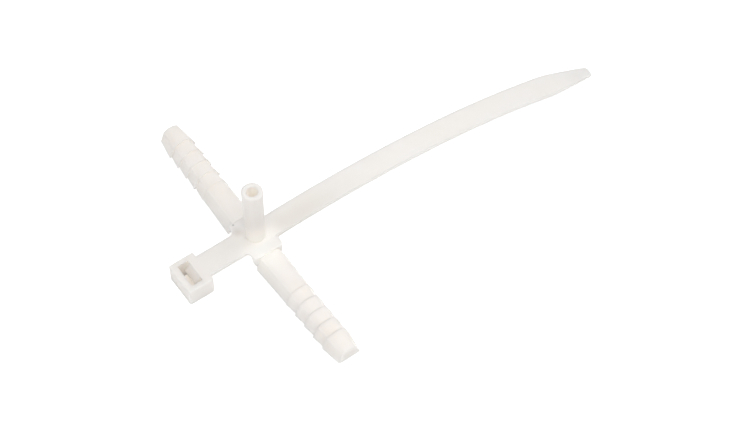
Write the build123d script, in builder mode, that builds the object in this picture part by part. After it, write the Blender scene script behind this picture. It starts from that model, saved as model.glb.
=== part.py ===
"""Fir tree cable tie: one nylon moulding, laid open as it leaves the mould.

The origin is on the axis of the drive pin, level with the top face of the neck.
+X runs along the strap, the two barbed half plugs lie along +Y and -Y, +Z is up.
Lengths are in millimetres, angles in degrees.
"""

import os
from math import cos, degrees, radians, sin, tan

from build123d import *

# Flat band that joins the head, the hub and the strap
band_width = 7.2
band_thickness = 1.4

# Head: a block that hangs below the band, with a slot for the strap
head_reach = 17.1
head_length = 8.0
head_width = 10.7
head_height = 6.4
head_corner = 0.6
head_edge = 0.35

# Slot and pawl inside the head
slot_inset = 1.9
slot_length = 3.3
slot_side = 0.1
pawl_width = 5.4
pawl_thickness = 0.9
pawl_drop = 0.15
pawl_root = 1.5
pawl_lead = 1.9
pawl_grip = 1.9
slot_clearance = 0.3

# Hub: a plate whose two ends slope down a little and fold with the half plugs
hub_width = 9.5
hub_length = 13.5
hub_corner = 1.0
neck_fillet = 1.6
tongue_drop = 0.35

# Hinges between the band and the half plugs
hinge_length = 1.8
hinge_thickness = 0.7

# Half plugs: flat below, with straight flanks up to a ridge and an arched back.
# The barbs' sharp steps face the hub. Each section is a half width and a height.
plug_depth = 5.1
ridge_out = 0.65
ridge_up = 0.83
plug_sweep = 0.75
plug_root_bevel = 1.8
plug_root_start = 6.2
plug_root_half = 4.6
plug_root_height = 4.2
plug_rise_end = 7.6
plug_rise_height = 4.7
shank_half = 4.22
shank_height = 4.5
barb_count = 4
barb_pitch = 4.26
barb_half = 4.46
barb_height = 4.68
waist_half = 3.86
waist_height = 4.28
nose_length = 6.71
nose_half = 4.5
nose_height = 4.72
tip_half = 3.45
tip_height = 4.1
tip_edge = 0.5
plug_reach = 44.5

# Tapered channel in the flat of each half plug, for the driven pin
channel_root_radius = 2.95
channel_tip_radius = 0.7
channel_end = 30.0

# Hollow drive pin, held in the hub's hole by a thin film level with the hub's top
pin_height = 21.7
pin_top_radius = 3.03
pin_foot_radius = 2.7
pin_bore_radius = 1.5
pin_rim = 0.35
pin_gap = 0.3
pin_film = 0.8

# Strap: rises a little from the hub, curls down in two arcs and ends in a tapered tip
strap_root = 2.2
strap_lift = 3.2
strap_near_length = 57.2
strap_near_radius = 300.0
strap_far_length = 59.8
strap_far_radius = 229.0
tip_length = 15.5
tip_width = 3.1
tip_corner = 1.2
tip_blend = 35.0
tip_thickness = 0.8

# Teeth across the hidden face of the strap
tooth_pitch = 1.6
tooth_depth = 0.5
tooth_width = 1.1
tooth_track = 5.2
tooth_start = 15.2
tooth_margin = 0.2

# Places that follow from the sizes above
head_centre = -head_reach - head_length / 2
slot_width = band_width + 2 * slot_side
slot_front = -head_reach - head_length + slot_inset
slot_back = slot_front + slot_length
grip_x = slot_front + band_thickness + slot_clearance
grip_top = -pawl_drop - pawl_lead
grip_foot = grip_top - pawl_grip
hub_end = hub_length / 2
hub_side = hub_width / 2
hinge_inner = band_width / 2
hinge_outer = hinge_inner + hinge_length
hinge_span = hub_width + 2 * neck_fillet
barb_end = plug_reach - nose_length
shank_end = barb_end - barb_count * barb_pitch
plug_plane = Plane(origin=(0, 0, -plug_depth), x_dir=(0, 1, 0), z_dir=(0, 0, -1))
plug_axis = Axis((0, 0, -plug_depth), (0, -1, 0))

# The strap's two arcs: slopes at their ends, centres and end point
strap_start = hub_side - strap_root
near_turn = degrees(strap_near_length / strap_near_radius)
far_turn = degrees(strap_far_length / strap_far_radius)
near_slope = radians(strap_lift - near_turn)
end_slope = radians(strap_lift - near_turn - far_turn)
lift = radians(strap_lift)
near_x = strap_start + strap_near_radius * sin(lift)
near_z = -strap_near_radius * cos(lift)
far_x = near_x - (strap_near_radius - strap_far_radius) * sin(near_slope)
far_z = near_z + (strap_near_radius - strap_far_radius) * cos(near_slope)
strap_end = far_x - strap_far_radius * sin(end_slope)
strap_drop = far_z + strap_far_radius * cos(end_slope)
strap_floor = strap_drop - band_thickness
strap_crest = near_z + strap_near_radius
near_plane = Plane(origin=(near_x, 0, near_z), x_dir=(1, 0, 0), z_dir=(0, -1, 0))
far_plane = Plane(origin=(far_x, 0, far_z), x_dir=(1, 0, 0), z_dir=(0, -1, 0))

# Where the teeth fall on the two arcs, at one pitch throughout
near_count = int((strap_near_length - tooth_start) / tooth_pitch) + 1
near_step = degrees(tooth_pitch / strap_near_radius)
near_first = 90 + strap_lift - degrees(tooth_start / strap_near_radius)
far_start = tooth_start + near_count * tooth_pitch - strap_near_length
far_count = int((strap_far_length - tip_length - far_start) / tooth_pitch)
far_step = degrees(tooth_pitch / strap_far_radius)
far_first = 90 + strap_lift - near_turn - degrees(far_start / strap_far_radius)

# Neck and hub plate, in one thickness, with a tongue at each end of the hub
with BuildPart() as plate:
    with BuildSketch() as plate_outline:
        Rectangle(hub_width, hub_length)
        with Locations((-head_reach - head_edge, 0)):
            Rectangle(head_reach, band_width, align=(Align.MIN, Align.CENTER))
        outer = plate_outline.vertices().filter_by(lambda v: abs(v.Y) > hinge_outer)
        fillet(outer, hub_corner)
        inner = plate_outline.vertices().filter_by(lambda v: v.X < 0 and abs(v.Y) < hinge_outer)
        fillet(inner.group_by(Axis.X)[-1], neck_fillet)
    extrude(amount=-band_thickness)
    with BuildSketch(Plane.XY.offset(-hinge_thickness)):
        with GridLocations(0, hinge_inner + hinge_outer, 1, 2):
            Rectangle(hinge_span, hinge_length)
    extrude(amount=-band_thickness, mode=Mode.SUBTRACT)
    with BuildSketch(Plane.XY.offset(-pin_film)):
        Circle(pin_foot_radius + pin_gap)
    extrude(amount=-band_thickness, mode=Mode.SUBTRACT)

# Each length of a half plug: its near and far ends, as reach, half width and height
rise_ends = (
    (plug_root_start, plug_root_half, plug_root_height),
    (plug_rise_end, plug_root_half, plug_rise_height),
)
shank_ends = (
    (plug_rise_end, plug_root_half, plug_rise_height),
    (shank_end, shank_half, shank_height),
)
nose_ends = ((barb_end, nose_half, nose_height), (plug_reach, tip_half, tip_height))
plug_lengths = [rise_ends, shank_ends, nose_ends]
for barb in range(barb_count):
    barb_start = shank_end + barb * barb_pitch
    barb_ends = (
        (barb_start, barb_half, barb_height),
        (barb_start + barb_pitch, waist_half, waist_height),
    )
    plug_lengths.append(barb_ends)

# One half plug: shank, barbs and nose, a root block, and a channel for the pin
with BuildPart() as plug:
    for ends in plug_lengths:
        for reach, half, height in ends:
            aside = (reach - plug_root_start) * tan(radians(plug_sweep))
            middle = (aside, reach, -plug_depth)
            with BuildSketch(Plane(origin=middle, x_dir=(1, 0, 0), z_dir=(0, -1, 0))):
                with BuildLine():
                    left_ridge = (-ridge_out * half, ridge_up * height)
                    right_ridge = (ridge_out * half, ridge_up * height)
                    Polyline(left_ridge, (-half, 0), (half, 0), right_ridge)
                    ThreePointArc(right_ridge, (0, height), left_ridge)
                make_face()
        loft()
    nose_end = plug.faces().sort_by(Axis.Y)[-1]
    fillet(nose_end.edges().sort_by(Axis.Z)[1:], tip_edge)
    with BuildSketch() as root_outline:
        with Locations((0, hinge_outer)):
            Rectangle(hub_width, hub_end - hinge_outer, align=(Align.CENTER, Align.MIN))
        fillet(root_outline.vertices().group_by(Axis.Y)[-1], hub_corner)
    extrude(amount=-plug_depth)
    with BuildSketch(plug_plane):
        Polygon(
            (hinge_outer, 0),
            (hinge_outer, channel_root_radius),
            (channel_end, channel_tip_radius),
            (channel_end, 0),
            align=None,
        )
    revolve(axis=plug_axis, mode=Mode.SUBTRACT)
    with BuildSketch(Plane.YZ):
        Polygon(
            (hinge_outer, -band_thickness),
            (hinge_outer, -plug_depth),
            (hinge_outer + plug_root_bevel, -plug_depth),
            align=None,
        )
    extrude(amount=hub_width, both=True, mode=Mode.SUBTRACT)

# Strap: a constant section along two arcs, trimmed to its plan outline and toothed below
with BuildPart() as strap:
    with BuildSketch(Plane.XZ) as strap_profile:
        with BuildLine():
            lead = (cos(lift), sin(lift))
            top_near = JernArc((strap_start, 0), lead, strap_near_radius, -near_turn)
            top_far = JernArc(top_near @ 1, top_near % 1, strap_far_radius, -far_turn)
            low_start = (strap_start + band_thickness * sin(lift), -band_thickness * cos(lift))
            low_near = JernArc(low_start, lead, strap_near_radius - band_thickness, -near_turn)
            low_far = JernArc(
                low_near @ 1, low_near % 1, strap_far_radius - band_thickness, -far_turn
            )
            Line(top_far @ 1, low_far @ 1)
            Line(top_near @ 0, low_near @ 0)
        make_face()
        tip_top = top_far @ 1
        tip_low = low_far @ 1
        tip_end = tip_top + (tip_low - tip_top) * (tip_thickness / band_thickness)
        taper_start = low_far @ (1 - tip_length / strap_far_length)
        Polygon(taper_start, tip_low, tip_end, align=None, mode=Mode.SUBTRACT)
    extrude(amount=band_width / 2, both=True)
    with BuildSketch(Plane.XY.offset(strap_floor)) as strap_outline:
        Polygon(
            (0, band_width / 2),
            (strap_end - tip_length, band_width / 2),
            (strap_end, tip_width / 2),
            (strap_end, -tip_width / 2),
            (strap_end - tip_length, -band_width / 2),
            (0, -band_width / 2),
            align=None,
        )
        fillet(strap_outline.vertices().group_by(Axis.X)[-1], tip_corner)
        fillet(strap_outline.vertices().group_by(Axis.X)[1], tip_blend)
    extrude(amount=strap_crest + band_thickness - strap_floor, mode=Mode.INTERSECT)
    with BuildSketch(near_plane) as near_grooves:
        with PolarLocations(
            strap_near_radius - band_thickness, near_count, near_first, -near_count * near_step
        ):
            Polygon(
                (-tooth_margin, 0), (tooth_depth, -tooth_width), (-tooth_margin, -tooth_width), align=None
            )
    extrude(amount=tooth_track / 2, both=True, mode=Mode.SUBTRACT)
    with BuildSketch(far_plane) as far_grooves:
        with PolarLocations(
            strap_far_radius - band_thickness, far_count, far_first, -far_count * far_step
        ):
            Polygon(
                (-tooth_margin, 0), (tooth_depth, -tooth_width), (-tooth_margin, -tooth_width), align=None
            )
    extrude(amount=tooth_track / 2, both=True, mode=Mode.SUBTRACT)

# Drive pin: a tapered tube, open above and closed at its foot
with BuildPart() as pin:
    with BuildSketch(Plane.XY.offset(-band_thickness)):
        Circle(pin_foot_radius)
    with BuildSketch(Plane.XY.offset(pin_height)):
        Circle(pin_top_radius)
    loft()
    with BuildSketch(Plane.XY.offset(pin_height)):
        Circle(pin_bore_radius)
    extrude(amount=-pin_height, mode=Mode.SUBTRACT)
    chamfer(pin.edges().group_by(Axis.Z)[-1], pin_rim)

# Head: a rounded block hanging below the neck, with a through slot
with BuildPart() as head:
    with BuildSketch() as head_outline:
        with Locations((head_centre, 0)):
            Rectangle(head_length, head_width)
        fillet(head_outline.vertices(), head_corner)
    extrude(amount=-head_height)
    fillet(head.faces().filter_by(Axis.Z).edges(), head_edge)
    with BuildSketch():
        with Locations((slot_front, 0)):
            Rectangle(slot_length, slot_width, align=(Align.MIN, Align.CENTER))
    extrude(amount=-head_height, mode=Mode.SUBTRACT)

# Pawl: a toothed tongue on the slot's hub side that leans down into the strap's path
with BuildPart() as pawl:
    with BuildSketch(Plane.XZ) as pawl_profile:
        Polygon(
            (slot_back, -pawl_drop),
            (grip_x, grip_top),
            (grip_x, grip_foot),
            (grip_x + pawl_thickness, grip_foot),
            (grip_x + pawl_thickness, grip_top),
            (slot_back, -pawl_drop - pawl_root),
            align=None,
        )
        with Locations((grip_x, grip_foot)):
            Polygon((0, 0), (0, tooth_width), (tooth_depth, 0), align=None, mode=Mode.SUBTRACT)
    extrude(amount=pawl_width / 2, both=True)

# The whole moulding
with BuildPart() as fir_tree_cable_tie:
    add(plate.part)
    add(plug.part)
    mirror(plug.part, about=Plane.XZ)
    add(pin.part)
    add(strap.part)
    add(head.part)
    add(pawl.part)
    with BuildSketch(Plane.YZ):
        for side in (-1, 1):
            inner, outer = side * hinge_inner, side * hub_end
            Polygon((inner, 0), (outer, 0), (outer, -tongue_drop), align=None)
    extrude(amount=hub_side + neck_fillet, both=True, mode=Mode.SUBTRACT)

fir_tree_cable_tie.part.label = "fir_tree_cable_tie"

os.makedirs("parts", exist_ok=True)
export_step(fir_tree_cable_tie.part, "parts/fir_tree_cable_tie.step")
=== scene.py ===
import math
from collections import namedtuple

import bpy
from mathutils import Matrix, Vector

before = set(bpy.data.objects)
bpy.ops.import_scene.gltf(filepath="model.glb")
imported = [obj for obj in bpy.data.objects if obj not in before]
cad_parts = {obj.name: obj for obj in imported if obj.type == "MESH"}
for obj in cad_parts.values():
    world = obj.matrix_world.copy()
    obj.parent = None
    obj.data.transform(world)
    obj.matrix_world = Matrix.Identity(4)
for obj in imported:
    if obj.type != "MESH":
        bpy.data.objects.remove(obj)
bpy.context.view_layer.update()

# Camera: degrees, metres, and pixels of the 750 x 423 frame
VIEW_AZIMUTH = -34.574
VIEW_ELEVATION = 57.485
VIEW_ROLL = -0.744
VIEW_DISTANCE = 0.7285
FOCAL_LENGTH_PX = 2650.3
ORIGIN_PX = (255.46, 234.26)
IMAGE_PX = (750, 423)
SENSOR_MM = 36.0
NEAREST_SEEN = 0.01
FARTHEST_SEEN = 20

# Where the moulding touches the table: the lower edge of the head and the end of the strap
HEAD_FOOT = Vector((-0.0251, 0, -0.0064))
TIP_FOOT = Vector((0.11716, 0, -0.01863))
TABLE_HALF_WIDTH = 3.0

# Lights: the world's strength, and square softboxes that all face the same place
SKY_STRENGTH = 0.4
SOFTBOX_AIM = Vector((0.03, 0, 0))
SOFTBOX_DISTANCE = 1.0
SOFTBOX_SIZE = 0.6

# Table: white card, with a lift that fades where the part covers it into a warm brown, painted shade under
# the part
WHITE = (1, 1, 1, 1)
CARD = (0.9, 0.9, 0.9, 1)
CARD_LIFT = 0.72
CARD_PAINTED_SHADE = (0.5, 0.44, 0.36, 1)
COVER_REACH = 0.012
COVER_RANGE = (0.1, 0.4)

# Natural nylon: a cloudy milk colour; in its hollows a paler, warmer colour and a glow are painted light,
# standing in for light that shines through
NYLON_LIGHT = (0.912, 0.872, 0.84, 1)
NYLON_WARM = (0.897, 0.848, 0.8, 1)
NYLON_HOLLOW_PAINTED_LIGHT = (0.98, 0.93, 0.88, 1)
NYLON_PAINTED_GLOW = (1.0, 0.88, 0.72, 1)
NYLON_IOR = 1.53
SCATTER_LENGTH = 0.0026
SCATTER_BY_COLOUR = (1.0, 0.98, 0.95)
HOLLOW_PAINTED_GLOW = 0.09
HOLLOW_REACH = 0.004
HOLLOW_RANGE = (0.28, 0.5)

# Skin of the nylon: edges a little rounded, a slow wave in its faces and a fine grain
EDGE_RADIUS = 0.0003
CLOUD_SCALE = 90.0
CLOUD_RANGE = (0.35, 0.65)
WAVE_HEIGHT = 0.0001
WAVE_STRENGTH = 0.35
GRAIN_SCALE = 900.0
GRAIN_RANGE = (0.3, 0.7)
GRAIN_HEIGHT = 0.00002
GRAIN_STRENGTH = 0.5
ROUGHNESS_RANGE = (0.4, 0.52)

# One dark speck in the nylon of the hub, beside the pin
SPECK = (0.03, 0.025, 0.02, 1)
SPECK_PLACE = (-0.0033, 0.0062, -0.00029)
SPECK_SIZE = 0.00013
SPECK_FADE = 1.6

# Soft patches, squeezed in Y and fading to their reach: a darker one along the strap root, a painted shadow
# behind the pin, and painted light with a painted glow on the front tongue, round the pin's foot and at the
# strap tip
Patch = namedtuple("Patch", "centre squeeze reach colour glow")
# Darker along the strap root, beside the pin
DARKER_STRAP_ROOT = Patch((0.0125, -0.0022, 0.0003), 3.5, 0.028, (0.78, 0.75, 0.71, 1), 0.0)
# Painted light with a glow on the front tongue, round the pin's foot and at the strap tip
PAINTED_LIGHT_FRONT_TONGUE = Patch((-0.0015, -0.005, 0.0), 1.1, 0.011, (0.96, 0.915, 0.87, 1), 0.075)
PAINTED_LIGHT_HUB = Patch((0.0, 0.0, 0.001), 1.0, 0.008, (0.97, 0.925, 0.88, 1), 0.02)
# Painted shadow of the pin on the hub behind it
PAINTED_SHADOW_BEHIND_PIN = Patch((-0.0037, 0.0035, 0.0), 1.0, 0.0024, (0.76, 0.71, 0.67, 1), 0.0)
PAINTED_LIGHT_STRAP_TIP = Patch((0.1175, 0.0, -0.0183), 1.0, 0.006, (0.96, 0.92, 0.88, 1), 0.05)


class Tree:
    """Adds nodes to one material or world and joins them."""

    def __init__(self, owner):
        owner.use_nodes = True
        self.nodes = owner.node_tree.nodes
        self.links = owner.node_tree.links
        self.nodes.clear()

    def add(self, kind, inputs=None, **settings):
        """Adds a node. Its inputs, by name or number, are values or the outputs that feed them."""
        node = self.nodes.new(kind)
        for name, value in settings.items():
            setattr(node, name, value)
        for key, value in (inputs or {}).items():
            if isinstance(value, bpy.types.NodeSocket):
                self.links.new(value, node.inputs[key])
            else:
                node.inputs[key].default_value = value
        return node

    def number(self, operation, *values):
        """Works out one number from others."""
        return self.add("ShaderNodeMath", dict(enumerate(values)), operation=operation).outputs["Value"]

    def vector(self, operation, *values):
        """Works on vectors, and returns the node's outputs by name."""
        return self.add("ShaderNodeVectorMath", dict(enumerate(values)), operation=operation).outputs

    def ramp(self, value, source, target, shape="LINEAR"):
        """Turns a value within the source range into one within the target range."""
        inputs = {
            "Value": value,
            "From Min": source[0],
            "From Max": source[1],
            "To Min": target[0],
            "To Max": target[1],
        }
        return self.add("ShaderNodeMapRange", inputs, interpolation_type=shape).outputs["Result"]

    def blend(self, share, first, second):
        """Mixes two colours, the first alone at a share of 0 and the second alone at 1."""
        inputs = {"Factor": share, "A": first, "B": second}
        return self.add("ShaderNodeMix", inputs, data_type="RGBA").outputs["Result"]

    def noise(self, place, scale, detail, roughness):
        """A cloud of values from about 0 to 1 that are one half on average."""
        inputs = {"Vector": place, "Scale": scale, "Detail": detail, "Roughness": roughness}
        return self.add("ShaderNodeTexNoise", inputs).outputs["Fac"]


def milk_colour(tree, place, cloud):
    """The nylon's own colour, cloudy and with the speck in it."""
    milk = tree.blend(tree.ramp(cloud, CLOUD_RANGE, (0.0, 1.0)), NYLON_LIGHT, NYLON_WARM)
    away = tree.vector("DISTANCE", place, SPECK_PLACE)["Value"]
    spot = tree.ramp(away, (SPECK_SIZE, SPECK_SIZE * SPECK_FADE), (1.0, 0.0))
    return tree.blend(spot, milk, SPECK)


def add_patch(tree, place, colour, glow, patch):
    """Blends a soft patch over the colour and adds its glow; returns the new colour and glow."""
    offset = tree.vector("SUBTRACT", place, patch.centre)["Vector"]
    oval = tree.vector("MULTIPLY", offset, (1, patch.squeeze, 1))["Vector"]
    away = tree.vector("LENGTH", oval)["Value"]
    near = tree.ramp(away, (0.0, patch.reach), (1.0, 0.0), "SMOOTHSTEP")
    return tree.blend(near, colour, patch.colour), tree.number("MULTIPLY_ADD", near, patch.glow, glow)


def hollow_share(tree):
    """Where light is painted in: zero on the open faces, and one deep in the bore, the slot and other narrow
    places.
    """
    openness = tree.add("ShaderNodeAmbientOcclusion", {"Distance": HOLLOW_REACH}, samples=8, only_local=True)
    return tree.ramp(openness.outputs["AO"], HOLLOW_RANGE, (1.0, 0.0))


def skin_normal(tree, cloud, grain):
    """Rounds the edges and adds the wave and the grain."""
    edge = tree.add("ShaderNodeBevel", {"Radius": EDGE_RADIUS}, samples=6)
    wave = tree.add("ShaderNodeBump", {
        "Height": cloud,
        "Distance": WAVE_HEIGHT,
        "Strength": WAVE_STRENGTH,
        "Normal": edge.outputs["Normal"],
    })
    skin = tree.add("ShaderNodeBump", {
        "Height": grain,
        "Distance": GRAIN_HEIGHT,
        "Strength": GRAIN_STRENGTH,
        "Normal": wave.outputs["Normal"],
    })
    return skin.outputs["Normal"]


def nylon_material():
    """Natural nylon: milky and satin, a little cloudy, with softly rounded edges."""
    material = bpy.data.materials.new("natural_nylon")
    tree = Tree(material)
    place = tree.add("ShaderNodeTexCoord").outputs["Object"]
    cloud = tree.noise(place, CLOUD_SCALE, detail=3.0, roughness=0.55)
    grain = tree.noise(place, GRAIN_SCALE, detail=2.0, roughness=0.5)
    # Painted light: in the hollows the colour turns paler and warmer and the nylon glows
    hollow = hollow_share(tree)
    colour = milk_colour(tree, place, cloud)
    glow = tree.number("MULTIPLY", hollow, HOLLOW_PAINTED_GLOW)
    # Lays the darker strap root, the painted shadow and the painted light patches over the colour
    for patch in (DARKER_STRAP_ROOT, PAINTED_LIGHT_FRONT_TONGUE, PAINTED_LIGHT_HUB, PAINTED_SHADOW_BEHIND_PIN, PAINTED_LIGHT_STRAP_TIP):
        colour, glow = add_patch(tree, place, colour, glow, patch)
    shader = tree.add("ShaderNodeBsdfPrincipled", {
        "Base Color": tree.blend(hollow, colour, NYLON_HOLLOW_PAINTED_LIGHT),
        "Roughness": tree.ramp(grain, GRAIN_RANGE, ROUGHNESS_RANGE),
        "Normal": skin_normal(tree, cloud, grain),
        "IOR": NYLON_IOR,
        "Subsurface Weight": 1.0,
        "Subsurface Radius": SCATTER_BY_COLOUR,
        "Subsurface Scale": SCATTER_LENGTH,
        # The glow is painted light, from the hollows and the painted light patches
        "Emission Color": NYLON_PAINTED_GLOW,
        "Emission Strength": glow,
    })
    tree.add("ShaderNodeOutputMaterial", {"Surface": shader.outputs["BSDF"]})
    return material


def table_material():
    """White card that looks brighter than it lights the part, less so where the part covers it, where a
    painted warm shade takes the lift's place.
    """
    material = bpy.data.materials.new("white_card")
    tree = Tree(material)
    card = tree.add("ShaderNodeBsdfDiffuse", {"Color": CARD}).outputs["BSDF"]
    openness = tree.add("ShaderNodeAmbientOcclusion", {"Distance": COVER_REACH}, samples=8).outputs["AO"]
    # Painted shade: the lift turns warm brown where the part covers the card
    tone = tree.blend(tree.ramp(openness, COVER_RANGE, (0.0, 1.0)), CARD_PAINTED_SHADE, WHITE)
    lift = tree.add("ShaderNodeEmission", {"Color": tone, "Strength": CARD_LIFT}).outputs["Emission"]
    lifted = tree.add("ShaderNodeAddShader", {0: card, 1: lift}).outputs["Shader"]
    rays = tree.add("ShaderNodeLightPath").outputs
    looked_at = tree.number("MAXIMUM", rays["Is Camera Ray"], rays["Is Glossy Ray"])
    looked_at = tree.number("MAXIMUM", looked_at, rays["Is Transmission Ray"])
    choice = tree.add("ShaderNodeMixShader", {"Fac": looked_at, 1: card, 2: lifted})
    tree.add("ShaderNodeOutputMaterial", {"Surface": choice.outputs["Shader"]})
    return material


def make_table():
    """A large flat card under the part, in the plane that its head and its strap tip rest on."""
    along = TIP_FOOT - HEAD_FOOT
    slope = math.atan2(-along.z, along.x)
    half = TABLE_HALF_WIDTH
    mesh = bpy.data.meshes.new("table")
    corners = [(-half, -half, 0), (half, -half, 0), (half, half, 0), (-half, half, 0)]
    mesh.from_pydata(corners, [], [(0, 1, 2, 3)])
    table = bpy.data.objects.new("table", mesh)
    bpy.context.scene.collection.objects.link(table)
    table.rotation_euler = (0, slope, 0)
    table.location = (HEAD_FOOT + TIP_FOOT) / 2
    mesh.materials.append(table_material())


def make_world():
    """A soft white sky, which the camera sees as plain white."""
    world = bpy.data.worlds.new("studio")
    tree = Tree(world)
    sky = tree.add("ShaderNodeBackground", {"Color": WHITE, "Strength": SKY_STRENGTH}).outputs["Background"]
    white = tree.add("ShaderNodeBackground", {"Color": WHITE, "Strength": 1.0}).outputs["Background"]
    looked_at = tree.add("ShaderNodeLightPath").outputs["Is Camera Ray"]
    choice = tree.add("ShaderNodeMixShader", {"Fac": looked_at, 1: sky, 2: white})
    tree.add("ShaderNodeOutputWorld", {"Surface": choice.outputs["Shader"]})
    bpy.context.scene.world = world


def direction(azimuth, elevation):
    """Unit vector away from the part, for angles in radians; azimuth 0 is -Y and a quarter turn is +X."""
    return Vector((
        math.sin(azimuth) * math.cos(elevation),
        -math.cos(azimuth) * math.cos(elevation),
        math.sin(elevation),
    ))


def make_softbox(name, azimuth, elevation, level):
    """A softbox at angles in degrees that adds about this level to a surface turned to it."""
    towards = direction(math.radians(azimuth), math.radians(elevation))
    lamp = bpy.data.lights.new(name, "AREA")
    lamp.size = SOFTBOX_SIZE
    lamp.energy = level * (math.pi * SOFTBOX_DISTANCE) ** 2
    box = bpy.data.objects.new(name, lamp)
    bpy.context.scene.collection.objects.link(box)
    box.location = SOFTBOX_AIM + towards * SOFTBOX_DISTANCE
    box.rotation_euler = towards.to_track_quat("Z", "Y").to_euler()


def make_camera():
    """Looks along the fitted view, aside and above so that the origin falls on its pixel."""
    azimuth = math.radians(VIEW_AZIMUTH)
    roll = math.radians(VIEW_ROLL)
    back = direction(azimuth, math.radians(VIEW_ELEVATION))
    level = Vector((math.cos(azimuth), math.sin(azimuth), 0))
    upright = back.cross(level)
    right = math.cos(roll) * level + math.sin(roll) * upright
    up = math.cos(roll) * upright - math.sin(roll) * level
    metres_per_px = VIEW_DISTANCE / FOCAL_LENGTH_PX
    aside = (ORIGIN_PX[0] - IMAGE_PX[0] / 2) * metres_per_px
    above = (IMAGE_PX[1] / 2 - ORIGIN_PX[1]) * metres_per_px
    lens = bpy.data.cameras.new("camera")
    lens.sensor_width = SENSOR_MM
    lens.lens = FOCAL_LENGTH_PX * SENSOR_MM / IMAGE_PX[0]
    lens.clip_start = NEAREST_SEEN
    lens.clip_end = FARTHEST_SEEN
    camera = bpy.data.objects.new("camera", lens)
    bpy.context.scene.collection.objects.link(camera)
    turn = Matrix((right, up, back)).transposed().to_4x4()
    camera.matrix_world = Matrix.Translation(back * VIEW_DISTANCE - aside * right - above * up) @ turn
    bpy.context.scene.camera = camera


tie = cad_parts["fir_tree_cable_tie"]
tie.data.materials.clear()
tie.data.materials.append(nylon_material())

make_table()
make_world()
make_softbox("overhead_light", azimuth=60, elevation=85, level=0.24)
make_softbox("key_light", azimuth=-25, elevation=60, level=0.25)
make_softbox("left_light", azimuth=-80, elevation=35, level=0.09)
make_softbox("right_light", azimuth=90, elevation=40, level=0.22)
make_camera()
bpy.context.scene.view_settings.view_transform = "Standard"
